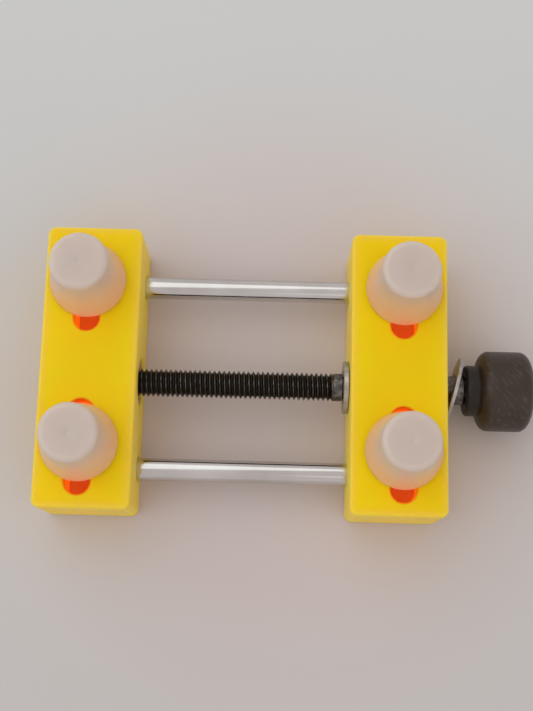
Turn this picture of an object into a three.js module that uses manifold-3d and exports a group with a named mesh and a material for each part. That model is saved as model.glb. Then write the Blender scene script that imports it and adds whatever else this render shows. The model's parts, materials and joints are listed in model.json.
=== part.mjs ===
// Adjustable watch movement holder: two moulded jaws on a pair of guide rods, drawn together by a lead
// screw, each jaw carrying two nylon pegs that slide along slots and clamp from below.
// Millimetres. +X runs along the screw towards the knob, +Z is up, the jaws stand on Z = 0.
import * as THREE from "three";
import { mergeVertices } from "three/addons/utils/BufferGeometryUtils.js";
import Module from "manifold-3d";

// Jaws
const JAW_LENGTH = 40; // along Y
const JAW_THICKNESS = 13.5; // along X
const JAW_CORNER_RADIUS = 1.1;
const JAW_OPENING = 30; // between the inner faces, as stored
const TOP_WALL = 3; // the slotted wall that the pegs clamp
const END_WALL = 1.3; // between a nut channel and the end of the jaw
const CENTRE_BOSS = 8.6; // solid middle of the jaw that the screw passes through

// Guide rods
const ROD_DIAMETER = 3.2;
const ROD_INSET = 6.5; // from the end of the jaw to the rod's axis
const ROD_FLOOR = 2.6; // plastic under the rod
const ROD_BLIND_WALL = 1.6; // plastic left behind the pressed end of the rod
const ROD_FREE_RECESS = 0.4; // how far the free end stands inside the jaw
const ROD_CHAMFER = 0.4;

// Lead screw and knob
const SCREW_DIAMETER = 4;
const SCREW_OFFSET = 1.2; // the screw lies this far in front of the middle of the jaws
const SCREW_FREE_RECESS = 1.5;
const SCREW_CHAMFER = 0.5;
const SHANK_OVERSIZE = 0.1;
const KNOB_DIAMETER = 11.5;
const KNOB_BARREL = 8;
const KNOB_STEP_DIAMETER = 7.3;
const KNOB_STEP = 1.9;
const KNOB_STEP_ROUND = 0.5;
const KNOB_BACK_ROUND = 1.5; // length of the barrel's rounded shoulder behind the step
const KNOB_NOSE_LENGTH = 1.75; // the barrel's outer end is rounded this far along X
const KNOB_NOSE_DEPTH = 2.75; // and this far in from its rim
const KNOB_DOME = 0.35;
const KNOB_SOCKET = 6.4; // depth of the hexagonal socket from the step's face
const KNOB_STANDOFF = 3.1; // from the jaw's outer face to the knob's step
const TABLE_CLEARANCE = 0.5; // under the knob

// Washer, clip and threaded insert on the screw
const WASHER_DIAMETER = 9.6;
const WASHER_THICKNESS = 0.5;
const CLIP_DIAMETER = 7.6;
const CLIP_THICKNESS = 0.7;
const CLIP_MOUTH = 0.85; // width of the clip's mouth, as a share of its hole
const GROOVE_DEPTH = 0.4;
const INSERT_WALL = 1.25;
const INSERT_FLOOR = 0.4; // plastic between the insert and the nut channel, across the inner wall

// Pegs, their studs and the nuts under the slots
const PEG_BASE_DIAMETER = 10.8;
const PEG_TOP_DIAMETER = 8;
const PEG_HEIGHT = 10;
const PEG_FOOT = 0.5; // straight rim round the base
const PEG_RIM_RADIUS = 0.8;
const PEG_WAIST = 0.18; // how far the flank is hollowed at half height
const PEG_OFFSET = 0.6; // the slots lie this far outward of the middle of the jaw
const PEG_BACK_SHIFT = 0.6; // the back pegs stand this far outward of the middle of their slots
const PEG_FRONT_SHIFT = -0.5;
const STUD_DIAMETER = 3;
const STUD_DEPTH = 6; // how far the stud stands in the peg
const STUD_TIP = 0.6; // thread below the nut
const STUD_CHAMFER = 0.4;
const NUT_WIDTH = 5.6; // across the channel
const NUT_LENGTH = 4.4; // along the channel
const NUT_THICKNESS = 2;

// Clearances
const SEAT_GAP = 0.1; // between faces that bear on each other
const PRESS_GAP = 0.06; // radial, in a pressed or moulded-in joint
const RUNNING_GAP = 0.1; // radial, where a piece turns or slides
const BORE_GAP = 0.25; // radial, round the screw's shank in the plain bores
const CHANNEL_GAP = 0.15; // on each side of a sliding nut
const STOP_GAP = 0.2; // left at the end of a nut's travel
const SLOT_GAP = 0.3; // round the stud in its slot
const NUT_ROD_GAP = 1; // between a stud's tip and the rod under it
const WASHER_GAP = 0.12; // between the rim of the leaning washer and the faces on both sides of it

// Derived places
const rodRadius = ROD_DIAMETER / 2;
const rodHeight = ROD_FLOOR + rodRadius;
const rodY = JAW_LENGTH / 2 - ROD_INSET;
const nutStack = STUD_TIP + NUT_THICKNESS + SEAT_GAP;
const channelTop = ROD_FLOOR + ROD_DIAMETER + NUT_ROD_GAP + nutStack;
const jawHeight = channelTop + TOP_WALL;
const channelWidth = NUT_WIDTH + 2 * CHANNEL_GAP;
const channelLength = JAW_LENGTH / 2 - CENTRE_BOSS / 2 - END_WALL;
const channelY = CENTRE_BOSS / 2 + channelLength / 2;
const pegTravel = (channelLength - NUT_LENGTH) / 2 - STOP_GAP;
const slotWidth = STUD_DIAMETER + 2 * SLOT_GAP;
const slotLength = 2 * pegTravel + slotWidth;
const innerWall = JAW_THICKNESS / 2 + PEG_OFFSET - channelWidth / 2;
const jawX = JAW_OPENING / 2 + JAW_THICKNESS / 2; // distance of each jaw's middle from the opening's middle

const screwRadius = SCREW_DIAMETER / 2;
const shankRadius = screwRadius + SHANK_OVERSIZE / 2;
const screwHeight = KNOB_DIAMETER / 2 + TABLE_CLEARANCE;
const insertRadius = screwRadius + INSERT_WALL;
const insertLength = innerWall - INSERT_FLOOR;
const outerFaceX = JAW_OPENING / 2 + JAW_THICKNESS;
const knobX = outerFaceX + KNOB_STANDOFF;
const knobEndX = knobX + KNOB_STEP + KNOB_BARREL;
const originX = (knobEndX - outerFaceX) / 2; // middle of the overall length

// The loose washer leans until its rim nearly meets the jaw on one side and the knob on the other.
const washerLean = Math.asin((KNOB_STANDOFF - 2 * WASHER_GAP - WASHER_THICKNESS) / WASHER_DIAMETER);
const washerRoom = shankRadius + RUNNING_GAP + (WASHER_THICKNESS / 2) * Math.sin(washerLean);
const washerHole = washerRoom / Math.cos(washerLean);

const FINE = 40; // sides of the knob and pegs
const COARSE = 28; // sides of rods, screws and bores
const OVERCUT = 1; // how far a cutting tool runs past the face it opens

const wasm = await Module();
wasm.setup();

const materials = {
  yellow: new THREE.MeshStandardMaterial({ color: 0xe7c315, roughness: 0.35, metalness: 0 }),
  nylon: new THREE.MeshStandardMaterial({ color: 0xd9d2cb, roughness: 0.45, metalness: 0 }),
  steel: new THREE.MeshStandardMaterial({ color: 0xb9bbbd, roughness: 0.25, metalness: 1 }),
  zinc: new THREE.MeshStandardMaterial({ color: 0xa9a8a6, roughness: 0.5, metalness: 1 }),
  blackSteel: new THREE.MeshStandardMaterial({ color: 0x2b2826, roughness: 0.4, metalness: 1 }),
  brass: new THREE.MeshStandardMaterial({ color: 0xc09a4a, roughness: 0.3, metalness: 1 }),
  blackPlastic: new THREE.MeshStandardMaterial({ color: 0x2e2a28, roughness: 0.5, metalness: 0 }),
};

// ---- solids ------------------------------------------------------------------------------------------

function solidFrom(geometry) {
  const bare = geometry.index ? geometry.toNonIndexed() : geometry.clone();
  bare.deleteAttribute("normal");
  bare.deleteAttribute("uv");
  const merged = mergeVertices(bare, 1e-4);
  return new wasm.Manifold(
    new wasm.Mesh({
      numProp: 3,
      vertProperties: merged.attributes.position.array,
      triVerts: new Uint32Array(merged.index.array),
    }),
  );
}

function geometryFrom(solid) {
  const mesh = solid.getMesh();
  const geometry = new THREE.BufferGeometry();
  geometry.setAttribute("position", new THREE.BufferAttribute(mesh.vertProperties, 3));
  geometry.setIndex(new THREE.BufferAttribute(mesh.triVerts, 1));
  geometry.computeVertexNormals();
  return geometry;
}

// body with every tool geometry cut out of it
function cut(body, tools) {
  let solid = solidFrom(body);
  for (const tool of tools) solid = solid.subtract(solidFrom(tool));
  return geometryFrom(solid);
}

// A cylinder along X from x0 to x1, centred on y and z.
function cylinderX(radius, x0, x1, y = 0, z = 0, sides = COARSE) {
  return new THREE.CylinderGeometry(radius, radius, x1 - x0, sides)
    .rotateZ(-Math.PI / 2)
    .translate((x0 + x1) / 2, y, z);
}

// A solid of revolution about Z; points are [radius, height] from the lower axis point to the upper one.
function turnedZ(points, sides = FINE) {
  const profile = points.map(([r, h]) => new THREE.Vector2(r, h));
  return new THREE.LatheGeometry(profile, sides).rotateX(Math.PI / 2);
}

// The same about X; points are [radius, x].
function turnedX(points, sides = FINE) {
  return turnedZ(points, sides).rotateY(Math.PI / 2);
}

// Points of a quarter ellipse from [r0, h0] to [r1, h1], leaving r0 along the height or along the radius.
function quarter([r0, h0], [r1, h1], heightFirst, steps = 5) {
  const points = [];
  for (let i = 1; i <= steps; i += 1) {
    const angle = (i / steps) * (Math.PI / 2);
    const slow = 1 - Math.cos(angle);
    const fast = Math.sin(angle);
    const alongR = heightFirst ? slow : fast;
    const alongH = heightFirst ? fast : slow;
    points.push([r0 + (r1 - r0) * alongR, h0 + (h1 - h0) * alongH]);
  }
  return points;
}

function extruded(shape, height, segments = 6) {
  return new THREE.ExtrudeGeometry(shape, { depth: height, bevelEnabled: false, curveSegments: segments });
}

function boxAt(sizeX, sizeY, z0, z1, x = 0, y = 0) {
  return new THREE.BoxGeometry(sizeX, sizeY, z1 - z0).translate(x, y, (z0 + z1) / 2);
}

// ---- jaws --------------------------------------------------------------------------------------------

function roundedRectangle(width, length, radius) {
  const x = width / 2 - radius;
  const y = length / 2 - radius;
  const shape = new THREE.Shape();
  shape.absarc(x, y, radius, 0, Math.PI / 2);
  shape.absarc(-x, y, radius, Math.PI / 2, Math.PI);
  shape.absarc(-x, -y, radius, Math.PI, 1.5 * Math.PI);
  shape.absarc(x, -y, radius, 1.5 * Math.PI, 2 * Math.PI);
  return shape;
}

// A round-ended slot along Y.
function slotOutline() {
  const radius = slotWidth / 2;
  const y = slotLength / 2 - radius;
  const shape = new THREE.Shape();
  shape.absarc(0, y, radius, 0, Math.PI);
  shape.absarc(0, -y, radius, Math.PI, 2 * Math.PI);
  return shape;
}

// Slots and nut channels; outward is +1 on the knob's jaw and -1 on the other.
function pegCuts(outward) {
  const x = outward * PEG_OFFSET;
  const cuts = [];
  for (const side of [-1, 1]) {
    const y = side * channelY;
    cuts.push(boxAt(channelWidth, channelLength, -OVERCUT, channelTop, x, y));
    cuts.push(extruded(slotOutline(), TOP_WALL + 2 * OVERCUT, 8).translate(x, y, channelTop - OVERCUT));
  }
  return cuts;
}

function jawBlock() {
  return extruded(roundedRectangle(JAW_THICKNESS, JAW_LENGTH, JAW_CORNER_RADIUS), jawHeight);
}

// The knob's jaw: the rods are pressed into blind bores and the screw runs through a plain bore.
function fixedJaw() {
  const inner = -JAW_THICKNESS / 2 - OVERCUT;
  const outer = JAW_THICKNESS / 2;
  const rodBores = [-1, 1].map((side) =>
    cylinderX(rodRadius + PRESS_GAP, inner, outer - ROD_BLIND_WALL, side * rodY, rodHeight),
  );
  const screwBore = cylinderX(shankRadius + BORE_GAP, inner, outer + OVERCUT, -SCREW_OFFSET, screwHeight);
  return cut(jawBlock(), [...pegCuts(1), ...rodBores, screwBore]);
}

// The sliding jaw: through bores for the rods and a threaded insert in its inner face.
function slidingJaw() {
  const inner = JAW_THICKNESS / 2 + OVERCUT;
  const outer = -JAW_THICKNESS / 2 - OVERCUT;
  const rodBores = [-1, 1].map((side) =>
    cylinderX(rodRadius + RUNNING_GAP, outer, inner, side * rodY, rodHeight),
  );
  const screwBore = cylinderX(screwRadius + BORE_GAP, outer, inner, -SCREW_OFFSET, screwHeight);
  const seatFloor = JAW_THICKNESS / 2 - insertLength - 2 * SEAT_GAP;
  const insertSeat = cylinderX(insertRadius + PRESS_GAP, seatFloor, inner, -SCREW_OFFSET, screwHeight);
  return cut(jawBlock(), [...pegCuts(-1), ...rodBores, screwBore, insertSeat]);
}

// ---- rods, screw and knob ----------------------------------------------------------------------------

function guideRod() {
  const from = -outerFaceX + ROD_FREE_RECESS;
  const to = outerFaceX - ROD_BLIND_WALL - SEAT_GAP;
  return turnedX(
    [
      [0, from],
      [rodRadius - ROD_CHAMFER, from],
      [rodRadius, from + ROD_CHAMFER],
      [rodRadius, to - ROD_CHAMFER],
      [rodRadius - ROD_CHAMFER, to],
      [0, to],
    ],
    COARSE,
  );
}

const clipX = JAW_OPENING / 2 - SEAT_GAP - CLIP_THICKNESS; // the clip's face away from the fixed jaw
const grooveRadius = screwRadius - GROOVE_DEPTH;

function leadScrew() {
  const tip = -outerFaceX + SCREW_FREE_RECESS;
  const shoulder = knobX - SEAT_GAP;
  const driveEnd = knobX + KNOB_SOCKET - SEAT_GAP;
  const groove = [clipX - SEAT_GAP, clipX + CLIP_THICKNESS + SEAT_GAP];
  const body = turnedX(
    [
      [0, tip],
      [screwRadius - SCREW_CHAMFER, tip],
      [screwRadius, tip + SCREW_CHAMFER],
      [screwRadius, groove[0]],
      [grooveRadius, groove[0]],
      [grooveRadius, groove[1]],
      [shankRadius, groove[1]],
      [shankRadius, shoulder],
      [0, shoulder],
    ],
    COARSE,
  );
  const drive = cylinderX(shankRadius, shoulder - OVERCUT, driveEnd, 0, 0, 6);
  return geometryFrom(solidFrom(body).add(solidFrom(drive)));
}

function knobProfile() {
  const step = KNOB_STEP_DIAMETER / 2;
  const barrel = KNOB_DIAMETER / 2;
  const end = KNOB_STEP + KNOB_BARREL;
  const rim = [barrel, end - KNOB_DOME - KNOB_NOSE_LENGTH];
  const nose = [barrel - KNOB_NOSE_DEPTH, end - KNOB_DOME];
  return [
    [0, 0],
    [step - KNOB_STEP_ROUND, 0],
    ...quarter([step - KNOB_STEP_ROUND, 0], [step, KNOB_STEP_ROUND], false, 3),
    [step, KNOB_STEP],
    ...quarter([step, KNOB_STEP], [barrel, KNOB_STEP + KNOB_BACK_ROUND], false),
    rim,
    ...quarter(rim, nose, true),
    ...quarter(nose, [0, end], true, 3),
  ];
}

function knob() {
  const socket = cylinderX(shankRadius + RUNNING_GAP, -OVERCUT, KNOB_SOCKET, 0, 0, 6);
  return cut(turnedX(knobProfile()), [socket]);
}

// ---- washer, clip and insert -------------------------------------------------------------------------

function ringX(outer, inner, thickness, sides = FINE) {
  const body = cylinderX(outer, -thickness / 2, thickness / 2, 0, 0, sides);
  return cut(body, [cylinderX(inner, -thickness / 2 - OVERCUT, thickness / 2 + OVERCUT, 0, 0, sides)]);
}

function thrustWasher() {
  return ringX(WASHER_DIAMETER / 2, washerHole, WASHER_THICKNESS);
}

// An E-clip: a flat ring, open below where it is pushed over the groove.
function retainingClip() {
  const hole = grooveRadius + PRESS_GAP;
  const ring = ringX(CLIP_DIAMETER / 2, hole, CLIP_THICKNESS, COARSE);
  const mouth = boxAt(CLIP_THICKNESS + 2 * OVERCUT, 2 * hole * CLIP_MOUTH, -CLIP_DIAMETER, 0);
  return cut(ring, [mouth]);
}

function threadedInsert() {
  return ringX(insertRadius, screwRadius + RUNNING_GAP, insertLength, COARSE);
}

// ---- pegs --------------------------------------------------------------------------------------------

// The waisted flank from the foot to just under the top rim.
function pegFlank() {
  const [low, high] = [PEG_FOOT, PEG_HEIGHT - PEG_RIM_RADIUS];
  const [wide, narrow] = [PEG_BASE_DIAMETER / 2, PEG_TOP_DIAMETER / 2];
  const steps = 4;
  const points = [];
  for (let i = 0; i <= steps; i += 1) {
    const t = i / steps;
    const radius = wide + (narrow - wide) * t - PEG_WAIST * Math.sin(Math.PI * t);
    points.push([radius, low + (high - low) * t]);
  }
  return points;
}

function peg() {
  const bore = STUD_DIAMETER / 2 + PRESS_GAP;
  const boreDepth = STUD_DEPTH + SEAT_GAP;
  const rimStart = [PEG_TOP_DIAMETER / 2, PEG_HEIGHT - PEG_RIM_RADIUS];
  const rimEnd = [PEG_TOP_DIAMETER / 2 - PEG_RIM_RADIUS, PEG_HEIGHT];
  return turnedZ([
    [0, boreDepth],
    [bore, boreDepth],
    [bore, 0],
    [PEG_BASE_DIAMETER / 2, 0],
    ...pegFlank(),
    ...quarter(rimStart, rimEnd, true, 3),
    [0, PEG_HEIGHT],
  ]);
}

const studLength = STUD_DEPTH + SEAT_GAP + TOP_WALL + nutStack;

function pegStud() {
  const radius = STUD_DIAMETER / 2;
  return turnedZ(
    [
      [0, 0],
      [radius - STUD_CHAMFER, 0],
      [radius, STUD_CHAMFER],
      [radius, studLength],
      [0, studLength],
    ],
    COARSE,
  );
}

function pegNut() {
  const bore = STUD_DIAMETER / 2 + RUNNING_GAP;
  const [low, high] = [-OVERCUT, NUT_THICKNESS + OVERCUT];
  const tool = turnedZ([[0, low], [bore, low], [bore, high], [0, high]], COARSE);
  return cut(boxAt(NUT_WIDTH, NUT_LENGTH, 0, NUT_THICKNESS), [tool]);
}

// ---- assembly ----------------------------------------------------------------------------------------

const holder = new THREE.Group();
holder.position.x = -originX;

function place(parent, name, geometry, material, x = 0, y = 0, z = 0) {
  const mesh = new THREE.Mesh(geometry, material);
  mesh.name = name;
  mesh.position.set(x, y, z);
  parent.add(mesh);
  return mesh;
}

function placePegs(side, outward) {
  const x = outward * (jawX + PEG_OFFSET);
  const shifts = { back: PEG_BACK_SHIFT, front: PEG_FRONT_SHIFT };
  for (const [row, shift] of Object.entries(shifts)) {
    const y = (row === "back" ? 1 : -1) * (channelY + shift);
    const station = new THREE.Group();
    station.position.set(x, y, 0);
    place(station, `peg_${row}_${side}`, peg(), materials.nylon, 0, 0, jawHeight + SEAT_GAP);
    place(station, `peg_stud_${row}_${side}`, pegStud(), materials.steel, 0, 0, channelTop - nutStack);
    const nutZ = channelTop - SEAT_GAP - NUT_THICKNESS;
    place(station, `peg_nut_${row}_${side}`, pegNut(), materials.brass, 0, 0, nutZ);
    holder.add(station);
  }
}

place(holder, "jaw_right", fixedJaw(), materials.yellow, jawX);
place(holder, "jaw_left", slidingJaw(), materials.yellow, -jawX);
place(holder, "guide_rod_front", guideRod(), materials.steel, 0, -rodY, rodHeight);
place(holder, "guide_rod_back", guideRod(), materials.steel, 0, rodY, rodHeight);

const spindle = new THREE.Group();
spindle.position.set(0, -SCREW_OFFSET, screwHeight);
holder.add(spindle);
place(spindle, "lead_screw", leadScrew(), materials.blackSteel);
place(spindle, "knob", knob(), materials.blackPlastic, knobX);
place(spindle, "retaining_clip", retainingClip(), materials.zinc, clipX + CLIP_THICKNESS / 2);
const insertX = -JAW_OPENING / 2 - SEAT_GAP - insertLength / 2;
place(spindle, "threaded_insert", threadedInsert(), materials.brass, insertX);
const washer = place(spindle, "thrust_washer", thrustWasher(), materials.zinc, outerFaceX + KNOB_STANDOFF / 2);
washer.rotation.z = -washerLean;

placePegs("right", 1);
placePegs("left", -1);

export default holder;
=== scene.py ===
"""Looks of an adjustable watch movement holder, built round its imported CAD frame.

Metres; +X runs along the screw towards the knob, +Y to the back pegs, +Z up. The jaws stand on Z = 0.
"""
import json
import math

import bmesh
import bpy
from mathutils import Matrix, Vector


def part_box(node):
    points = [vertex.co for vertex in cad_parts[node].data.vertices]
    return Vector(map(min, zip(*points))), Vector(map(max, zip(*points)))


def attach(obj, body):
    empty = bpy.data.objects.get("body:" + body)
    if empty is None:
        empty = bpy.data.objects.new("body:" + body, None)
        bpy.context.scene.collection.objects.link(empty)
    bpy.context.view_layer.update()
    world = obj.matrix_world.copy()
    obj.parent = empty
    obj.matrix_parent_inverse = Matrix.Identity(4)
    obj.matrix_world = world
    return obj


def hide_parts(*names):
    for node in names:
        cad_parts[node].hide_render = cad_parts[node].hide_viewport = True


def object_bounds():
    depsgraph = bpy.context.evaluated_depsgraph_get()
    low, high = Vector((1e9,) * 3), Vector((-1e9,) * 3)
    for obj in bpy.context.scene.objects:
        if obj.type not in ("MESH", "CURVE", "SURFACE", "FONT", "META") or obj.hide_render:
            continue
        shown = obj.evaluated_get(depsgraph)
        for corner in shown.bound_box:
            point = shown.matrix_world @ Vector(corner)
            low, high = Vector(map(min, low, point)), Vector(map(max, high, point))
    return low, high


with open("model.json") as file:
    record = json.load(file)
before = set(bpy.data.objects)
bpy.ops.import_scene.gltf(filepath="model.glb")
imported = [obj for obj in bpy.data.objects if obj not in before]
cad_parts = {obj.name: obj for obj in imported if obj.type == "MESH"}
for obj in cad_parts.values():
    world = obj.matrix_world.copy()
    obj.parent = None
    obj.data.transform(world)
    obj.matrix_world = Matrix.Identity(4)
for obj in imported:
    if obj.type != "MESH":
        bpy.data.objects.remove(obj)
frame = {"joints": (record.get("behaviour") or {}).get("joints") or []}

CAD_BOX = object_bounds()
MM = 0.001

# Camera and stage
CAMERA_AZIMUTH = 1.05
CAMERA_ELEVATION = 77.73
CAMERA_ROLL = 0.47
CAMERA_DISTANCE = 166 * MM
CAMERA_LENS = 59.7
AIM_OFFSET = Vector((-3.38 * MM, 2.16 * MM, 0))
FLOOR_SIZE = 8.0
FLOOR_DROP = 0.03 * MM
LIGHT_TARGET = Vector((0, 0, 10 * MM))

# Shapes that the CAD model leaves plain
JAW_EDGE = 0.4 * MM
JAW_CORNER = 1.1 * MM
SLOT_RIM = 0.25 * MM
CHANNEL_CORNER = 0.5 * MM
CHANNEL_MOUTH = 0.3 * MM
BORE_CHAMFER = 0.2 * MM
PIN_MARK_RADIUS = 1.25 * MM
PIN_MARK_DEPTH = 0.2 * MM
PIN_MARK_PLACE = Vector((4.2 * MM, 2.6 * MM, 0))
GATE_RADIUS = 1.2 * MM
GATE_DEPTH = 0.15 * MM
GATE_HEIGHT = 6.0 * MM
ROD_EDGE = 0.35 * MM
SCREW_PITCH = 0.7 * MM
STUD_PITCH = 0.5 * MM
CLIP_MOUTH = math.radians(38)
CLIP_GRIP = 0.43
CLIP_RELIEF = 0.66
CLIP_GROOVE = 0.42
PEG_WAIST = 0.18 * MM
PEG_RIM = 0.8 * MM
PEG_TAPER = 1.4 * MM
PEG_FOOT = 0.5 * MM
KNOB_STEP = 1.9 * MM
KNOB_STEP_RADIUS = 3.65 * MM
KNOB_STEP_ROUND = 0.5 * MM
KNOB_BACK_ROUND = 1.5 * MM
KNOB_NOSE_LENGTH = 1.75 * MM
KNOB_NOSE_DEPTH = 2.75 * MM
KNOB_DOME = 0.35 * MM
WASHER_THICKNESS = 0.5 * MM
NUT_EDGE = 0.25 * MM
NUT_CORNER = 0.35 * MM
OVERCUT = 1 * MM
SHARP_ANGLE = math.radians(35)

# Gaps round the pieces, measured on the radius or on one side
PRESS_GAP = 0.05 * MM
RUNNING_GAP = 0.1 * MM
INSERT_GAP = 0.2 * MM
BORE_GAP = 0.25 * MM
SLOT_GAP = 0.3 * MM
CHANNEL_GAP = 0.15 * MM
CHANNEL_END_GAP = 0.2 * MM

SIDES = ("right", "left")
ROWS = ("back", "front")


# ---- reading the frame ---------------------------------------------------------------------------------

def middle(node):
    low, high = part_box(node)
    return (low + high) / 2


def extent(node):
    low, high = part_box(node)
    return high - low


JOINTS = {joint["name"]: joint for joint in frame["joints"]}
JAW_LOW, JAW_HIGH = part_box("jaw_right")
JAW_TOP = JAW_HIGH.z
ROD = {row: middle(f"guide_rod_{row}") for row in ROWS}
ROD_RADIUS = extent("guide_rod_front").y / 2
SCREW_AXIS = middle("lead_screw")
SCREW_LOW, SCREW_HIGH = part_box("lead_screw")
SHANK_RADIUS = extent("lead_screw").z / 2
THREAD_RADIUS = SHANK_RADIUS - PRESS_GAP
STUD_RADIUS = extent("peg_stud_back_right").x / 2
NUT_SIZE = extent("peg_nut_back_right")
CHANNEL_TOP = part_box("peg_nut_back_right")[1].z + RUNNING_GAP
CHANNEL_WIDTH = NUT_SIZE.x + 2 * CHANNEL_GAP


def slot_of(row, side):
    """(middle of the slot, half the peg's travel along it)."""
    low, high = JOINTS[f"peg_{row}_{side}_slide"]["range_m"]
    centre = middle(f"peg_stud_{row}_{side}")
    return Vector((centre.x, centre.y + (low + high) / 2, 0)), (high - low) / 2


# ---- mesh building -------------------------------------------------------------------------------------

def loft(rows, closed=False):
    """A skin over rows of points; a row of one point is a pole, and open ends are capped."""
    mesh = bmesh.new()
    made = [[mesh.verts.new(point) for point in row] for row in rows]
    pairs = list(zip(made, made[1:]))
    if closed:
        pairs.append((made[-1], made[0]))
    for first, second in pairs:
        bridge(mesh, first, second)
    if not closed:
        for row in (made[0], made[-1]):
            if len(row) > 2:
                mesh.faces.new(row)
    bmesh.ops.recalc_face_normals(mesh, faces=mesh.faces)
    return mesh


def bridge(mesh, first, second):
    """Faces between two rows, which are equally long unless one is a pole."""
    count = max(len(first), len(second))
    for i in range(count):
        j = (i + 1) % count
        corners = [first[i % len(first)], first[j % len(first)]]
        corners += [second[j % len(second)], second[i % len(second)]]
        unique = list(dict.fromkeys(corners))
        if len(unique) > 2:
            mesh.faces.new(unique)


def circle_row(centre, axis, along, radius, sides, phase=0.0):
    """Points of a circle about an axis ("X" or "Z"); radius is a number or a function of the angle."""
    points = []
    for i in range(sides):
        angle = 2 * math.pi * i / sides + phase
        reach = radius(angle) if callable(radius) else radius
        first, second = reach * math.cos(angle), reach * math.sin(angle)
        if axis == "X":
            points.append(Vector((along, centre.y + first, centre.z + second)))
        else:
            points.append(Vector((centre.x + first, centre.y + second, along)))
    return points


def turned(profile, centre, axis, sides=64, closed=False):
    """A turned body; profile is [(radius, distance along the axis)], a radius of 0 being a pole."""
    rows = []
    for radius, along in profile:
        if callable(radius) or radius > 0:
            rows.append(circle_row(centre, axis, along, radius, sides))
        elif axis == "X":
            rows.append([Vector((along, centre.y, centre.z))])
        else:
            rows.append([Vector((centre.x, centre.y, along))])
    return loft(rows, closed)


def quarter_turn(steps, first=0):
    """(1 - cos, sin) at even steps of a quarter circle."""
    angles = [math.pi / 2 * i / steps for i in range(first, steps + 1)]
    return [(1 - math.cos(angle), math.sin(angle)) for angle in angles]


def arc(start, end, radial_first, steps=6):
    """Quarter ellipse from start to end, both (radius, distance); start itself is left out."""
    points = []
    for slow, fast in quarter_turn(steps, 1):
        across, along = (fast, slow) if radial_first else (slow, fast)
        points.append((start[0] + (end[0] - start[0]) * across, start[1] + (end[1] - start[1]) * along))
    return points


def thread(start, end, major, pitch, steps=10):
    """Profile rows of a right-hand thread from start to end along an axis, fading out over its end turns."""
    depth = 0.6 * pitch
    count = int((end - start) / pitch * steps)
    rows = []
    for i in range(count + 1):
        along = start + (end - start) * i / count
        strength = min(1.0, (along - start) / pitch, (end - along) / pitch)
        rows.append((thread_radius(along, major, depth * strength, pitch), along))
    return rows


def thread_radius(along, major, depth, pitch):
    """The radius at each angle; the crest and the flank are shares of half the pitch."""
    crest, flank = 0.12, 0.66

    def radius(angle):
        phase = (along / pitch - angle / (2 * math.pi)) % 1.0
        from_crest = abs(phase - 0.5) * 2
        return major - depth * min(1.0, max(0.0, (from_crest - crest) / flank))

    return radius


def object_of(name, mesh, material):
    data = bpy.data.meshes.new(name)
    mesh.to_mesh(data)
    mesh.free()
    data.materials.append(material)
    finish_mesh(data)
    made = bpy.data.objects.new(name, data)
    bpy.context.scene.collection.objects.link(made)
    return made


def finish_mesh(data):
    data.validate()
    data.shade_smooth()
    data.set_sharp_from_angle(angle=SHARP_ANGLE)


def even_normals(thing):
    """Keeps wide flat faces flat beside their rounded edges."""
    weighted = thing.modifiers.new("even_normals", "WEIGHTED_NORMAL")
    weighted.keep_sharp = True
    weighted.weight = 90


def carve(thing, cutters):
    """Cuts each cutter out of thing; the cut faces keep the cutter's material."""
    for cutter in cutters:
        modifier = thing.modifiers.new("carve", "BOOLEAN")
        modifier.operation = "DIFFERENCE"
        modifier.solver = "EXACT"
        modifier.material_mode = "TRANSFER"
        modifier.object = cutter
    bpy.context.view_layer.update()
    graph = bpy.context.evaluated_depsgraph_get()
    data = bpy.data.meshes.new_from_object(thing.evaluated_get(graph))
    thing.modifiers.clear()
    old = thing.data
    thing.data = data
    bpy.data.meshes.remove(old)
    for cutter in cutters:
        bpy.data.objects.remove(cutter)
    finish_mesh(data)


def settle(thing, body, nodes):
    """The piece rides on its body and stands for its CAD nodes."""
    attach(thing, body)
    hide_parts(*nodes)
    return thing


# ---- materials -----------------------------------------------------------------------------------------

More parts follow.
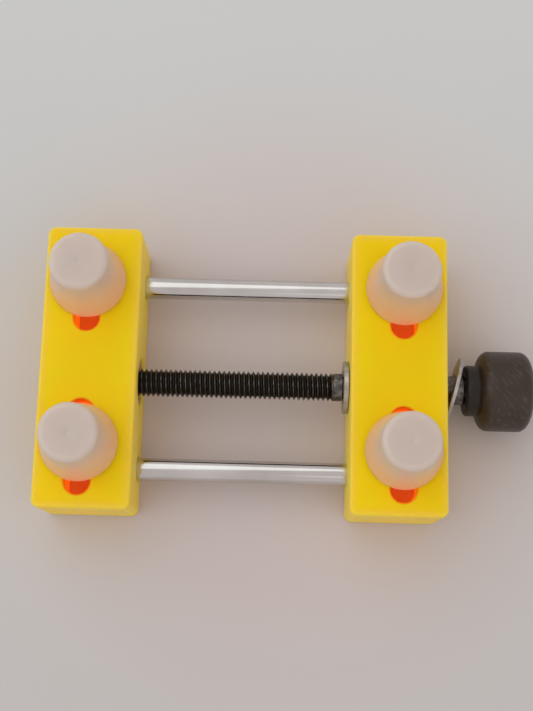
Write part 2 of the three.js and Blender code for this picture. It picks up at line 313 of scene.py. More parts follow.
class Paint:
    """A procedural material in object space, whose coordinates are counted in millimetres."""

    def __init__(self, name, **constants):
        self.material = bpy.data.materials.new(name)
        self.material.use_nodes = True
        self.nodes = self.material.node_tree.nodes
        self.links = self.material.node_tree.links
        self.shader = self.nodes["Principled BSDF"]
        for key, value in constants.items():
            self.shader.inputs[key.replace("_", " ").title().replace("Ior", "IOR")].default_value = value
        coordinates = self.nodes.new("ShaderNodeTexCoord")
        self.millimetres = self.mapped(coordinates.outputs["Object"], (1000, 1000, 1000))

    def mapped(self, source, scale, turn=(0, 0, 0)):
        mapping = self.nodes.new("ShaderNodeMapping")
        mapping.inputs["Scale"].default_value = scale
        mapping.inputs["Rotation"].default_value = turn
        self.links.new(source, mapping.inputs["Vector"])
        return mapping.outputs["Vector"]

    def noise(self, scale, detail=3.0, stretch=None, roughness=0.55, turn=(0, 0, 0)):
        node = self.nodes.new("ShaderNodeTexNoise")
        node.inputs["Scale"].default_value = scale
        node.inputs["Detail"].default_value = detail
        node.inputs["Roughness"].default_value = roughness
        source = self.millimetres
        if stretch:
            source = self.mapped(self.mapped(source, (1, 1, 1), turn), stretch)
        self.links.new(source, node.inputs["Vector"])
        return node.outputs["Fac"]

    def ramp(self, factor, stops):
        """Colours or grey levels at places along factor: [(place, value), ...]."""
        node = self.nodes.new("ShaderNodeValToRGB")
        elements = node.color_ramp.elements
        while len(elements) < len(stops):
            elements.new(0.5)
        for element, (place, value) in zip(elements, stops):
            element.position = place
            element.color = (*value, 1) if isinstance(value, tuple) else (value, value, value, 1)
        self.links.new(factor, node.inputs["Fac"])
        return node.outputs["Color"]

    def blend(self, factor, first, second, mode="MIX"):
        node = self.nodes.new("ShaderNodeMix")
        node.data_type = "RGBA"
        node.blend_type = mode
        for socket, value in ((0, factor), (6, first), (7, second)):
            if isinstance(value, (float, tuple)):
                node.inputs[socket].default_value = value
            else:
                self.links.new(value, node.inputs[socket])
        return node.outputs[2]

    def math(self, operation, first, second=0.0):
        node = self.nodes.new("ShaderNodeMath")
        node.operation = operation
        for socket, value in enumerate((first, second)):
            if isinstance(value, (float, int)):
                node.inputs[socket].default_value = value
            else:
                self.links.new(value, node.inputs[socket])
        return node.outputs[0]

    def span(self, value, low, high, out_low=0.0, out_high=1.0, smooth=True):
        node = self.nodes.new("ShaderNodeMapRange")
        node.interpolation_type = "SMOOTHSTEP" if smooth else "LINEAR"
        limits = {"From Min": low, "From Max": high, "To Min": out_low, "To Max": out_high}
        for socket, number in limits.items():
            node.inputs[socket].default_value = number
        self.links.new(value, node.inputs["Value"])
        return node.outputs["Result"]

    def axes(self):
        node = self.nodes.new("ShaderNodeSeparateXYZ")
        self.links.new(self.millimetres, node.inputs["Vector"])
        return node.outputs

    def reach(self, across, centre):
        """Distance from a centre across two axes, such as "XY"."""
        axes = self.axes()
        squares = []
        for axis, place in zip(across, centre):
            offset = self.math("SUBTRACT", axes[axis], place / MM)
            squares.append(self.math("MULTIPLY", offset, offset))
        return self.math("SQRT", self.math("ADD", *squares))

    def to(self, socket, value):
        self.links.new(value, self.shader.inputs[socket])

    def bump(self, heights):
        """Stacks bumps: [(height, strength, distance in millimetres), ...]."""
        previous = None
        for height, strength, distance in heights:
            node = self.nodes.new("ShaderNodeBump")
            node.inputs["Strength"].default_value = strength
            node.inputs["Distance"].default_value = distance * MM
            self.links.new(height, node.inputs["Height"])
            if previous:
                self.links.new(previous, node.inputs["Normal"])
            previous = node.outputs["Normal"]
        self.to("Normal", previous)


def translucent_yellow(name):
    """The moulded plastic's gloss, grain and handling scratches, with its colour left to the caller."""
    paint = Paint(name, roughness=0.45, ior=1.5, subsurface_weight=1.0, subsurface_scale=1.8 * MM)
    paint.shader.inputs["Specular IOR Level"].default_value = 0.12
    paint.shader.inputs["Subsurface Radius"].default_value = (1.0, 0.5, 0.08)
    scratch = paint.noise(1.1, detail=5.0, stretch=(0.35, 4.0, 4.0))
    wear = paint.noise(0.5, detail=4.0)
    rubbed = paint.math("ADD", wear, paint.math("MULTIPLY", scratch, 0.4))
    paint.to("Roughness", paint.span(rubbed, 0.45, 1.0, 0.36, 0.58))
    grain = paint.noise(9.0, detail=3.0)
    paint.bump([(grain, 0.12, 0.02), (scratch, 0.1, 0.03)])
    return paint


def jaw_yellow(side):
    """Amber yellow with flow marks and painted light: painted shade makes the top's middle and the lower
    surfaces, such as the underside and bore walls, more orange; a painted amber glow lies on the outer faces
    and along the top's outer edges.
    """
    paint = translucent_yellow(f"moulded_yellow_{side}")
    low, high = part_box(f"jaw_{side}")
    axes = paint.axes()
    shade_to_glow_outward, painted_rim_glow = [], []
    for axis, at in (("X", 0), ("Y", 1)):
        offset = paint.math("SUBTRACT", axes[axis], (low[at] + high[at]) / 2 / MM)
        distance = paint.math("ABSOLUTE", offset)
        half = (high[at] - low[at]) / 2 / MM
        shade_to_glow_outward.append(paint.span(distance, half - 4.5, half + 0.5))
        painted_rim_glow.append(paint.span(distance, half - 1.3, half))
    flow = paint.noise(0.11, detail=2.0, stretch=(1.0, 0.45, 1.0))
    # Painted shade and glow: the middle of the top is painted more orange and its outer parts paler, broken
    # up by the flow marks.
    edge = paint.math("MAXIMUM", *shade_to_glow_outward)
    depth = paint.math("ADD", edge, paint.math("MULTIPLY", paint.math("SUBTRACT", flow, 0.5), 0.7))
    stops = [(0.0, (1.0, 0.69, 0.001)), (0.5, (1.0, 0.71, 0.002)), (1.0, (1.0, 0.70, 0.012))]
    tone = paint.ramp(depth, stops)
    # Painted shade: surfaces from 0.2 mm below the top downward are painted deeper orange, three quarters of
    # the way by 2.5 mm down.
    deep = paint.span(axes["Z"], (JAW_TOP - 2.5 * MM) / MM, (JAW_TOP - 0.2 * MM) / MM, 0.75, 0.0)
    tone = paint.blend(deep, tone, (1.0, 0.56, 0.006, 1))
    # Painted glow: within 1.3 mm of the outer faces, and on them, the colour turns a paler amber.
    tone = paint.blend(paint.math("MAXIMUM", *painted_rim_glow), tone, (1.0, 0.66, 0.075, 1))
    speck = paint.span(paint.noise(3.2, detail=4.0), 0.62, 0.8, 0.0, 0.25)
    paint.to("Base Color", paint.blend(speck, tone, (0.95, 0.60, 0.004, 1)))
    return paint.material


def hollow_yellow():
    """Walls of the slots and channels, painted with light: a deeper orange-red base colour as painted shade,
    and a painted glow (emission) that stands for light come through the plastic, strongest from 3 mm below
    the top downward.
    """
    paint = translucent_yellow("yellow_hollow")
    below = paint.span(paint.axes()["Z"], (JAW_TOP - 3 * MM) / MM, (JAW_TOP - 0.3 * MM) / MM, 1.0, 0.0)
    cloud = paint.noise(0.3, detail=2.0)
    # Painted shade: an orange-red, mottled copy of the yellow plastic.
    paint.to("Base Color", paint.ramp(cloud, [(0.3, (0.95, 0.36, 0.008)), (0.7, (0.97, 0.44, 0.010))]))
    # Painted glow: the emission fades from full at 3 mm below the top to faint at 0.3 mm below it.
    paint.to("Emission Color", paint.ramp(below, [(0.0, (0.10, 0.02, 0.001)), (1.0, (1.0, 0.16, 0.010))]))
    paint.shader.inputs["Emission Strength"].default_value = 0.45
    return paint.material


def milky_nylon():
    """Nylon that passes light, with painted bounce light from the yellow plastic: peach at its foot, fading
    to the grey top.
    """
    paint = Paint("milky_nylon", roughness=0.42, ior=1.53, subsurface_weight=0.9, subsurface_scale=2.6 * MM)
    paint.shader.inputs["Subsurface Radius"].default_value = (1.0, 0.82, 0.62)
    height = paint.axes()["Z"]
    cloud = paint.noise(0.35, detail=3.0)
    top = JAW_TOP / MM
    # Painted bounce light: peach at the foot, fading to grey over the 10 mm above the jaw's top, mottled.
    warm = paint.span(paint.math("ADD", height, cloud), top + 0.5, top + 10.5, smooth=False)
    stops = [(0.0, (0.87, 0.46, 0.22)), (0.5, (0.81, 0.53, 0.35)), (1.0, (0.61, 0.53, 0.48))]
    tint = paint.ramp(warm, stops)
    paint.to("Base Color", paint.blend(paint.span(cloud, 0.3, 0.8, 0.0, 0.25), tint, (0.70, 0.60, 0.53, 1)))
    paint.to("Roughness", paint.span(paint.noise(1.2, detail=4.0), 0.3, 0.8, 0.34, 0.52))
    rings = paint.noise(2.2, detail=3.0, stretch=(0.4, 0.4, 3.0))
    paint.bump([(paint.noise(6.0, detail=3.0), 0.1, 0.02), (rings, 0.08, 0.03)])
    return paint.material


def polished_steel():
    """Drawn rod: fine lines along its length, faint stains."""
    paint = Paint("polished_steel", metallic=1.0, roughness=0.12)
    lines = paint.noise(1.4, detail=3.0, stretch=(0.03, 6.0, 6.0))
    stain = paint.noise(0.12, detail=3.0)
    paint.to("Base Color", paint.ramp(stain, [(0.3, (0.62, 0.60, 0.58)), (0.7, (0.72, 0.71, 0.70))]))
    paint.to("Roughness", paint.span(paint.math("ADD", lines, stain), 0.7, 1.3, 0.07, 0.17))
    paint.bump([(lines, 0.06, 0.01)])
    return paint.material


def threaded_steel(name, dark, bright, middle_line, crest, across):
    """Steel whose thread crests, at radius crest round the middle line, are worn brighter."""
    paint = Paint(name, metallic=1.0, roughness=0.4)
    rubbed = paint.span(paint.reach(across, middle_line), crest / MM - 0.22, crest / MM + 0.02)
    patch = paint.noise(0.9, detail=4.0)
    worn = paint.math("MULTIPLY", rubbed, paint.span(patch, 0.35, 0.65, 0.25, 1.0))
    paint.to("Base Color", paint.blend(worn, (*dark, 1), (*bright, 1)))
    paint.to("Roughness", paint.span(worn, 0.0, 1.0, 0.46, 0.26))
    paint.bump([(paint.noise(5.0, detail=4.0), 0.12, 0.02)])
    return paint.material


def plated_steel():
    """Dull zinc plate with cloudy patches."""
    paint = Paint("dull_zinc", metallic=1.0, roughness=0.45)
    cloud = paint.noise(0.8, detail=5.0)
    paint.to("Base Color", paint.ramp(cloud, [(0.3, (0.36, 0.34, 0.33)), (0.7, (0.60, 0.58, 0.57))]))
    paint.to("Roughness", paint.span(cloud, 0.3, 0.7, 0.55, 0.34))
    paint.bump([(paint.noise(7.0, detail=4.0), 0.2, 0.02)])
    return paint.material


def turned_brass():
    """Brass with fine tool marks and darker tarnish."""
    paint = Paint("turned_brass", metallic=1.0, roughness=0.3)
    tarnish = paint.noise(0.7, detail=5.0)
    marks = paint.noise(3.0, detail=4.0, stretch=(5.0, 0.6, 0.6))
    paint.to("Base Color", paint.ramp(tarnish, [(0.3, (0.42, 0.27, 0.08)), (0.7, (0.72, 0.53, 0.21))]))
    paint.to("Roughness", paint.span(tarnish, 0.3, 0.7, 0.46, 0.24))
    paint.bump([(marks, 0.15, 0.02)])
    return paint.material


def black_moulding():
    """Satin black plastic, scuffed grey along slanting streaks."""
    paint = Paint("black_moulding", roughness=0.42, ior=1.5)
    paint.shader.inputs["Specular IOR Level"].default_value = 0.34
    slant = (0, 0, math.radians(50))
    streaks = paint.noise(0.9, detail=5.0, stretch=(0.4, 2.6, 1.6), roughness=0.6, turn=slant)
    dust = paint.noise(4.0, detail=5.0)
    scuffed = paint.math("MULTIPLY", paint.span(streaks, 0.5, 0.72), paint.span(dust, 0.35, 0.65, 0.35, 1.0))
    # Painted shade: the step is painted darker than the barrel, and the scuffs are kept off it.
    step_end = (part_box("knob")[0].x + KNOB_STEP) / MM
    beyond_painted_step_shade = paint.span(paint.axes()["X"], step_end - 0.9, step_end + 1.6)
    plain = paint.blend(beyond_painted_step_shade, (0.016, 0.010, 0.007, 1), (0.042, 0.028, 0.020, 1))
    tone = paint.blend(paint.math("MULTIPLY", scuffed, beyond_painted_step_shade), plain, (0.095, 0.080, 0.068, 1))
    paint.to("Base Color", tone)
    paint.to("Roughness", paint.span(scuffed, 0.0, 1.0, 0.38, 0.58))
    paint.bump([(paint.noise(8.0, detail=3.0), 0.1, 0.02), (streaks, 0.12, 0.05)])
    return paint.material


def floor_paint():
    """Pale card with painted light: lighter and cooler towards the back, darker and pinker towards the front,
    and a painted warm glow round the tool that stands for light come through its plastic.
    """
    paint = Paint("pale_floor", roughness=0.8)
    # Painted light: the card's tone runs from darker and pinker at Y = -60 mm to lighter and cooler at +60
    # mm.
    across = paint.span(paint.axes()["Y"], -60, 60, smooth=False)
    mottle = paint.math("MULTIPLY", paint.math("SUBTRACT", paint.noise(0.05), 0.5), 0.1)
    stops = [(0.0, (0.57, 0.55, 0.545)), (1.0, (0.64, 0.66, 0.665))]
    tone = paint.ramp(paint.math("ADD", across, mottle), stops)
    # Painted glow: a warm tint within 22 mm of the middle, fading out by 56 mm.
    painted_glow_round_tool = paint.span(paint.reach("XY", (0, 0)), 22, 56, 1.0, 0.0)
    paint.to("Base Color", paint.blend(painted_glow_round_tool, tone, (1.03, 0.93, 0.92, 1), "MULTIPLY"))
    return paint.material


YELLOW = {side: jaw_yellow(side) for side in SIDES}
YELLOW_PAINTED_GLOW = hollow_yellow()
NYLON = milky_nylon()
STEEL = polished_steel()
ZINC = plated_steel()
BRASS = turned_brass()
BLACK = black_moulding()
BLACK_STEEL = threaded_steel(
    "black_steel", (0.035, 0.031, 0.028), (0.22, 0.20, 0.18), SCREW_AXIS.yz, THREAD_RADIUS, "YZ"
)


# ---- jaws ----------------------------------------------------------------------------------------------

def rectangle_row(centre, width, length, corner, z, steps=8):
    """A rounded rectangle at height z."""
    points = []
    for quarter, (sx, sy) in enumerate(((1, 1), (-1, 1), (-1, -1), (1, -1))):
        for i in range(steps + 1):
            angle = math.pi / 2 * (quarter + i / steps)
            x = centre.x + sx * (width / 2 - corner) + corner * math.cos(angle)
            y = centre.y + sy * (length / 2 - corner) + corner * math.sin(angle)
            points.append(Vector((x, y, z)))
    return points


def slot_row(centre, half_straight, radius, z, steps=20):
    """A round-ended slot along Y at height z."""
    points = []
    for end in (1, -1):
        for i in range(steps + 1):
            angle = math.pi * (i / steps + (0 if end > 0 else 1))
            y = centre.y + end * half_straight + radius * math.sin(angle)
            points.append(Vector((centre.x + radius * math.cos(angle), y, z)))
    return points


def jaw_shell(low, high):
    """A block with rounded corners, its lower and upper edges rounded too."""
    centre = (low + high) / 2
    width, length = high.x - low.x, high.y - low.y
    rows = []
    for level, sign in ((low.z, 1), (high.z, -1)):
        edge = []
        for slow, fast in quarter_turn(6):
            inset = JAW_EDGE * (1 - fast)
            z = level + sign * JAW_EDGE * slow
            edge.append(rectangle_row(centre, width - 2 * inset, length - 2 * inset, JAW_CORNER - inset, z))
        rows += edge if sign > 0 else edge[::-1]
    return loft(rows)


def slot_cutter(centre, travel):
    """Follows the slot down into the nut channel, with a rounded rim at the top."""
    radius = STUD_RADIUS + SLOT_GAP
    rows = [slot_row(centre, travel, radius, CHANNEL_TOP - OVERCUT / 2)]
    for slow, fast in quarter_turn(6):
        rows.append(slot_row(centre, travel, radius + SLOT_RIM * slow, JAW_TOP - SLOT_RIM * (1 - fast)))
    rows.append(slot_row(centre, travel, radius + SLOT_RIM, JAW_TOP + OVERCUT))
    return object_of("slot", loft(rows), YELLOW_PAINTED_GLOW)


def channel_cutter(centre, travel):
    """The nut's channel, open underneath, with a rounded mouth."""
    length = 2 * travel + NUT_SIZE.y + 2 * CHANNEL_END_GAP
    levels = [(CHANNEL_MOUTH, -OVERCUT)]
    levels += [(CHANNEL_MOUTH * (1 - fast), CHANNEL_MOUTH * slow) for slow, fast in quarter_turn(4)]
    levels += [(0, CHANNEL_TOP)]
    rows = []
    for grow, z in levels:
        rows.append(
            rectangle_row(centre, CHANNEL_WIDTH + 2 * grow, length + 2 * grow, CHANNEL_CORNER + grow, z)
        )
    return object_of("channel", loft(rows), YELLOW_PAINTED_GLOW)


def bore_cutter(side, axis, radius, start, end, start_face=None, end_face=None):
    """A bore along X with a chamfer where it meets each named face."""
    profile = [(radius, start), (radius, end)]
    if start_face is not None:
        wide = radius + BORE_CHAMFER
        profile = [(wide, start), (wide, start_face), (radius, start_face + BORE_CHAMFER)] + profile[1:]
    if end_face is not None:
        wide = radius + BORE_CHAMFER
        profile = profile[:-1] + [(radius, end_face - BORE_CHAMFER), (wide, end_face), (wide, end)]
    return object_of("bore", turned(profile, axis, "X", 48), YELLOW[side])


def mould_marks(side):
    """Ejector-pin rings on the underside and the gate's dimple on the back end."""
    low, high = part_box(f"jaw_{side}")
    centre = (low + high) / 2
    marks = []
    shoulder = 0.08 * MM
    profile = [(PIN_MARK_RADIUS, -OVERCUT), (PIN_MARK_RADIUS, PIN_MARK_DEPTH - shoulder)]
    profile += [(PIN_MARK_RADIUS - 0.15 * MM, PIN_MARK_DEPTH), (0.0, PIN_MARK_DEPTH)]
    for direction in (-1, 1):
        place = Vector((centre.x + direction * PIN_MARK_PLACE.x, PIN_MARK_PLACE.y, 0))
        marks.append(object_of("pin_mark", turned(profile, place, "Z", 32), YELLOW[side]))
    gate = bmesh.new()
    bmesh.ops.create_uvsphere(gate, u_segments=24, v_segments=12, radius=GATE_RADIUS)
    place = (centre.x, high.y + GATE_RADIUS - GATE_DEPTH, GATE_HEIGHT)
    bmesh.ops.translate(gate, verts=gate.verts, vec=place)
    marks.append(object_of("gate_mark", gate, YELLOW[side]))
    return marks


def jaw_bores(side, low, high):
    """Right: blind rod bores, plain screw bore. Left: through bores and the insert's seat."""
    start, end = low.x - OVERCUT, high.x + OVERCUT
    bores = []
    if side == "right":
        for row in ROWS:
            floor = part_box(f"guide_rod_{row}")[1].x + RUNNING_GAP
            bores.append(bore_cutter(side, ROD[row], ROD_RADIUS + PRESS_GAP, start, floor, low.x))
        bores.append(bore_cutter(side, SCREW_AXIS, SHANK_RADIUS + BORE_GAP, start, end, low.x, high.x))
        return bores
    for row in ROWS:
        bores.append(bore_cutter(side, ROD[row], ROD_RADIUS + RUNNING_GAP, start, end, low.x, high.x))
    bores.append(bore_cutter(side, SCREW_AXIS, SHANK_RADIUS + INSERT_GAP, start, end, low.x))
    seat_radius = extent("threaded_insert").z / 2 + PRESS_GAP
    seat_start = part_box("threaded_insert")[0].x - RUNNING_GAP
    bores.append(bore_cutter(side, SCREW_AXIS, seat_radius, seat_start, end, None, high.x))
    return bores


def jaw(side, body):
    low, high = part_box(f"jaw_{side}")
    thing = object_of(f"moulded_jaw_{side}", jaw_shell(low, high), YELLOW[side])
    cutters = mould_marks(side)
    for row in ROWS:
        centre, travel = slot_of(row, side)
        cutters.append(channel_cutter(centre, travel))
        cutters.append(slot_cutter(centre, travel))
    carve(thing, cutters + jaw_bores(side, low, high))
    even_normals(thing)
    settle(thing, body, [f"jaw_{side}"])


# ---- rods, screw, knob ---------------------------------------------------------------------------------

def guide_rod(row):
    """A rod with both ends rounded over."""
    low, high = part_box(f"guide_rod_{row}")
    face = ROD_RADIUS - ROD_EDGE
    rings = 12
    profile = [(0.0, low.x), (face, low.x)]
    profile += arc((face, low.x), (ROD_RADIUS, low.x + ROD_EDGE), True, 5)
    profile += [(ROD_RADIUS, low.x + (high.x - low.x) * i / rings) for i in range(1, rings)]
    profile += [(ROD_RADIUS, high.x - ROD_EDGE)]
    profile += arc((ROD_RADIUS, high.x - ROD_EDGE), (face, high.x), False, 5)
    profile += [(0.0, high.x)]
    thing = object_of(f"polished_rod_{row}", turned(profile, ROD[row], "X", 64), STEEL)
    settle(thing, "fixed_jaw", [f"guide_rod_{row}"])


def hexagon(radius):
    """The radius at each angle of a hexagon whose corners lie on the given radius."""
    def at(angle):
        turn = (angle % (math.pi / 3)) - math.pi / 6
        return radius * math.cos(math.pi / 6) / math.cos(turn)

    return at


def lead_screw():
    """Thread up to the clip's groove, plain shank up to the knob, hexagon inside it."""
    clip_low, clip_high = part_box("retaining_clip")
    root = THREAD_RADIUS - 0.45 * MM
    tip = root - 0.2 * MM
    thread_start = SCREW_LOW.x + 0.3 * MM
    thread_end = clip_low.x - 1.2 * MM
    groove = extent("retaining_clip").y / 2 * CLIP_GROOVE
    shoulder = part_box("knob")[0].x - RUNNING_GAP
    edge = 0.15 * MM
    drive = hexagon(SHANK_RADIUS)
    profile = [(0.0, SCREW_LOW.x), (tip, SCREW_LOW.x), (root, thread_start - PRESS_GAP)]
    profile += thread(thread_start, thread_end, THREAD_RADIUS, SCREW_PITCH)
    profile += [(THREAD_RADIUS, clip_low.x - edge), (groove, clip_low.x - PRESS_GAP)]
    profile += [(groove, clip_high.x + PRESS_GAP), (SHANK_RADIUS - 0.02 * MM, clip_high.x + RUNNING_GAP)]
    profile += [(SHANK_RADIUS, clip_high.x + edge)]
    profile += [(SHANK_RADIUS, shoulder - edge), (SHANK_RADIUS - edge, shoulder)]
    profile += [(drive, shoulder + PRESS_GAP), (drive, SCREW_HIGH.x), (0.0, SCREW_HIGH.x)]
    thing = object_of("threaded_spindle", turned(profile, SCREW_AXIS, "X", 36), BLACK_STEEL)
    settle(thing, "screw", ["lead_screw"])


def knob():
    """A narrow step, a groove, then a barrel with a rounded shoulder and a long rounded nose."""
    low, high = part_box("knob")
    barrel = (high.z - low.z) / 2
    step = KNOB_STEP_RADIUS
    soft = KNOB_STEP_ROUND
    shoulder = low.x + KNOB_STEP
    nose = high.x - KNOB_DOME
    groove = 0.12 * MM
    flank_start, flank_end = shoulder + KNOB_BACK_ROUND, nose - KNOB_NOSE_LENGTH
    face = barrel - KNOB_NOSE_DEPTH
    bore = hexagon(SHANK_RADIUS + RUNNING_GAP)
    bottom = SCREW_HIGH.x + RUNNING_GAP
    mouth = SHANK_RADIUS + 2 * RUNNING_GAP
    profile = [(0.0, bottom), (bore, bottom), (bore, low.x + RUNNING_GAP), (mouth, low.x)]
    profile += [(step - soft, low.x)]
    profile += arc((step - soft, low.x), (step, low.x + soft), True, 6)
    profile += [(step, shoulder - groove), (step + groove, shoulder)]
    profile += arc((step + groove, shoulder), (barrel, flank_start), True, 10)
    profile += [(barrel, flank_start + (flank_end - flank_start) * i / 4) for i in range(1, 5)]
    profile += arc((barrel, flank_end), (face, nose), False, 12)
    profile += arc((face, nose), (0.0, high.x), False, 6)[:-1]
    profile += [(0.0, high.x)]
    thing = object_of("stepped_knob", turned(profile, SCREW_AXIS, "X", 120), BLACK)
    settle(thing, "screw", ["knob"])


# ---- washer, clip, insert ------------------------------------------------------------------------------

def ring_profile(outer, inner, half, edge):
    """Closed section of a flat ring with softened outer and inner edges, centred on distance 0."""
    section = [(inner, -half + edge), (inner + edge, -half), (outer - edge, -half)]
    section += arc((outer - edge, -half), (outer, -half + edge), True, 4)
    section += arc((outer, half - edge), (outer - edge, half), False, 4)
    section += [(inner + edge, half), (inner, half - edge)]
    return section


def thrust_washer():
    """A stamped washer that leans across the space between the jaw and the knob."""
    deep, wide, diameter = extent("thrust_washer")
    thickness = WASHER_THICKNESS
    lean = math.atan2(diameter * deep - thickness * wide, diameter * wide - thickness * deep)
    section = ring_profile(diameter / 2, SHANK_RADIUS + BORE_GAP, thickness / 2, 0.08 * MM)
    mesh = turned(section, Vector(), "X", 96, closed=True)
    place = Matrix.Translation(middle("thrust_washer")) @ Matrix.Rotation(-lean, 4, "Z")
    bmesh.ops.transform(mesh, matrix=place, verts=mesh.verts)
    thing = object_of("loose_washer", mesh, ZINC)
    settle(thing, "washer", ["thrust_washer"])


def retaining_clip():
    """An E-clip: an open ring with three inner lands that grip the groove."""
    low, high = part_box("retaining_clip")
    centre = Vector((0, SCREW_AXIS.y, SCREW_AXIS.z))
    outer = (high.y - low.y) / 2
    grip = outer * CLIP_GRIP
    relief = outer * CLIP_RELIEF
    count = 90
    angles = [-math.pi / 2 + CLIP_MOUTH + 2 * (math.pi - CLIP_MOUTH) * i / count for i in range(count + 1)]
    outline = [(outer * math.cos(angle), outer * math.sin(angle)) for angle in angles]
    for angle in reversed(angles):
        lands = math.cos(3 * (angle - math.pi / 2)) if angle not in (angles[0], angles[-1]) else 1.0
        radius = grip + (relief - grip) * min(1.0, max(0.0, (0.75 - lands) * 4))
        outline.append((radius * math.cos(angle), radius * math.sin(angle)))
    edge = 0.06 * MM
    rows = []
    for along, shrink in ((low.x, edge), (low.x + edge, 0), (high.x - edge, 0), (high.x, edge)):
        scale = 1 - shrink / outer
        rows.append([Vector((along, centre.y + y * scale, centre.z + z * scale)) for y, z in outline])
    thing = object_of("e_clip", loft(rows), ZINC)
    settle(thing, "screw", ["retaining_clip"])


def threaded_insert():
    """A brass bush, its bore countersunk where the screw enters."""
    low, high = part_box("threaded_insert")
    centre = middle("threaded_insert")
    outer = (high.z - low.z) / 2
    inner = SHANK_RADIUS + PRESS_GAP
    edge, lip, shoulder = 0.2 * MM, 0.08 * MM, 0.3 * MM
    sink_width, sink_depth = 0.45 * MM, 0.4 * MM
    section = [(inner + edge, low.x), (outer - edge, low.x), (outer, low.x + edge)]
    section += [(outer, high.x - shoulder), (outer - lip, high.x - lip), (outer - edge, high.x)]
    section += [(inner + sink_width, high.x), (inner, high.x - sink_depth), (inner, low.x + edge)]
    thing = object_of("brass_insert", turned(section, centre, "X", 64, closed=True), BRASS)
    settle(thing, "sliding_jaw", ["threaded_insert"])


# ---- pegs ----------------------------------------------------------------------------------------------

def centre_mark(top):
    """The dimple that the lathe's centre leaves in a top, as profile points from the flat to the pole."""
    flat, mouth, wall, bottom = 1.2 * MM, 0.36 * MM, 0.28 * MM, 0.12 * MM
    sag, depth = 0.004 * MM, 0.05 * MM
    points = [(flat, top), (mouth, top - sag), (wall, top - 0.8 * depth)]
    return points + [(bottom, top - depth), (0.0, top - depth)]


def peg(row, side):
    """A tapered, slightly waisted peg with a straight foot, a round rim and the lathe's centre mark."""
    node = f"peg_{row}_{side}"
    low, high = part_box(node)
    centre = middle(node)
    wide = (high.x - low.x) / 2
    narrow = wide - PEG_TAPER
    height = high.z - low.z
    bore = STUD_RADIUS + PRESS_GAP
    bore_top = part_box(f"peg_stud_{row}_{side}")[1].z + RUNNING_GAP
    sink, heel = 0.2 * MM, 0.15 * MM
    profile = [(0.0, bore_top), (bore, bore_top), (bore, low.z + sink), (bore + sink, low.z)]
    profile += [(wide - heel, low.z)]
    profile += arc((wide - heel, low.z), (wide, low.z + heel), True, 4)
    flank = 24
    for i in range(flank + 1):
        t = i / flank
        radius = wide + (narrow - wide) * t - PEG_WAIST * math.sin(math.pi * t)
        profile.append((radius, low.z + PEG_FOOT + (height - PEG_FOOT - PEG_RIM) * t))
    profile += arc((narrow, high.z - PEG_RIM), (narrow - PEG_RIM, high.z), False, 10)
    profile += centre_mark(high.z)
    thing = object_of(f"nylon_{node}", turned(profile, centre, "Z", 96), NYLON)
    settle(thing, f"{node}_body", [node])


def peg_stud(row, side):
    """A stud threaded below the peg and plain inside it."""
    node = f"peg_stud_{row}_{side}"
    low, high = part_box(node)
    centre = middle(node)
    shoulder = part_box(f"peg_{row}_{side}")[0].z
    root = STUD_RADIUS - 0.3 * MM
    tip = 0.15 * MM
    profile = [(0.0, low.z), (root - tip, low.z), (root, low.z + tip)]
    profile += thread(low.z + tip + PRESS_GAP, shoulder, STUD_RADIUS, STUD_PITCH)
    profile += [(STUD_RADIUS, high.z), (0.0, high.z)]
    dark, bright = (0.20, 0.19, 0.18), (0.62, 0.60, 0.58)
    steel = threaded_steel(f"stud_steel_{row}_{side}", dark, bright, centre.xy, STUD_RADIUS, "XY")
    thing = object_of(f"threaded_stud_{row}_{side}", turned(profile, centre, "Z", 32), steel)
    settle(thing, f"peg_{row}_{side}_body", [node])


def peg_nut(row, side):
    """A square nut with a bevelled outline and a countersunk bore."""
    node = f"peg_nut_{row}_{side}"
    low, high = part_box(node)
    centre = middle(node)
    width, length = high.x - low.x, high.y - low.y
    low_levels = [(low.z, NUT_EDGE), (low.z + NUT_EDGE, 0)]
    high_levels = [(high.z - NUT_EDGE, 0), (high.z, NUT_EDGE)]
    rows = []
    for z, inset in low_levels + high_levels:
        rows.append(rectangle_row(centre, width - 2 * inset, length - 2 * inset, NUT_CORNER, z, 4))
    thing = object_of(f"square_nut_{row}_{side}", loft(rows), BRASS)
    bore, sink, over = STUD_RADIUS + 0.06 * MM, 0.3 * MM, 0.5 * MM
    profile = [(bore + sink + over, low.z - over), (bore, low.z + sink), (bore, high.z - sink)]
    profile += [(bore + sink + over, high.z + over)]
    carve(thing, [object_of("nut_bore", turned(profile, centre, "Z", 32), BRASS)])
    settle(thing, f"nut_{row}_{side}_body", [node])


# ---- stage ---------------------------------------------------------------------------------------------

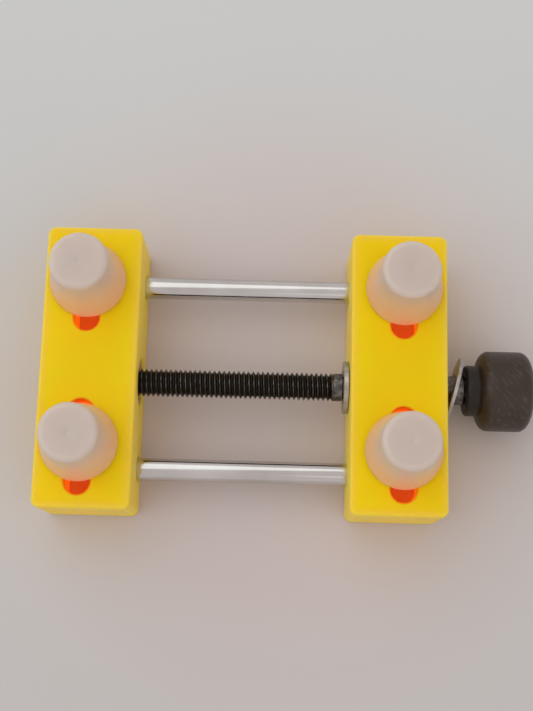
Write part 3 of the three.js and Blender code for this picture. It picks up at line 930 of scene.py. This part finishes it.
def make_camera():
    """The photograph's viewpoint, almost straight above and turned by about a degree."""
    data = bpy.data.cameras.new("camera")
    data.lens = CAMERA_LENS
    data.clip_start = 5 * MM
    data.clip_end = 10
    camera = bpy.data.objects.new("camera", data)
    bpy.context.scene.collection.objects.link(camera)
    turn, tilt = math.radians(CAMERA_AZIMUTH), math.radians(CAMERA_ELEVATION)
    back = Vector((math.sin(turn) * math.cos(tilt), -math.cos(turn) * math.cos(tilt), math.sin(tilt)))
    aim = (CAD_BOX[0] + CAD_BOX[1]) / 2 + AIM_OFFSET
    camera.location = aim + back * CAMERA_DISTANCE
    camera.rotation_mode = "QUATERNION"
    level = (-back).to_track_quat("-Z", "Y")
    camera.rotation_quaternion = level @ Matrix.Rotation(math.radians(CAMERA_ROLL), 3, "Z").to_quaternion()
    bpy.context.scene.camera = camera


def make_floor():
    mesh = bmesh.new()
    bmesh.ops.create_grid(mesh, x_segments=8, y_segments=8, size=FLOOR_SIZE / 2)
    bmesh.ops.translate(mesh, verts=mesh.verts, vec=(0, 0, -FLOOR_DROP))
    floor = object_of("floor", mesh, floor_paint())


def make_light(name, place, size, watts, colour):
    """A rectangular light that faces the middle of the tool."""
    data = bpy.data.lights.new(name, "AREA")
    data.shape = "RECTANGLE"
    data.size, data.size_y = size
    data.energy = watts
    data.color = colour
    light = bpy.data.objects.new(name, data)
    bpy.context.scene.collection.objects.link(light)
    light.location = place
    light.rotation_mode = "QUATERNION"
    light.rotation_quaternion = (LIGHT_TARGET - light.location).to_track_quat("-Z", "Y")


def make_lights():
    make_light("key", Vector((-0.5, 0.2, 0.7)), (1.7, 1.1), 3.7, (0.94, 1.0, 1.0))
    make_light("fill", Vector((0.5, -0.45, 0.5)), (0.9, 0.9), 0.8, (1.0, 0.96, 0.93))
    world = bpy.data.worlds.new("studio")
    bpy.context.scene.world = world
    world.use_nodes = True
    background = world.node_tree.nodes["Background"]
    background.inputs["Color"].default_value = (1.0, 0.93, 0.91, 1)
    background.inputs["Strength"].default_value = 0.64
    bpy.context.scene.view_settings.view_transform = "Standard"


make_camera()
make_floor()
make_lights()
jaw("right", "fixed_jaw")
jaw("left", "sliding_jaw")
for rod_row in ROWS:
    guide_rod(rod_row)
lead_screw()
knob()
thrust_washer()
retaining_clip()
threaded_insert()
for peg_row in ROWS:
    for peg_side in SIDES:
        peg(peg_row, peg_side)
        peg_stud(peg_row, peg_side)
        peg_nut(peg_row, peg_side)
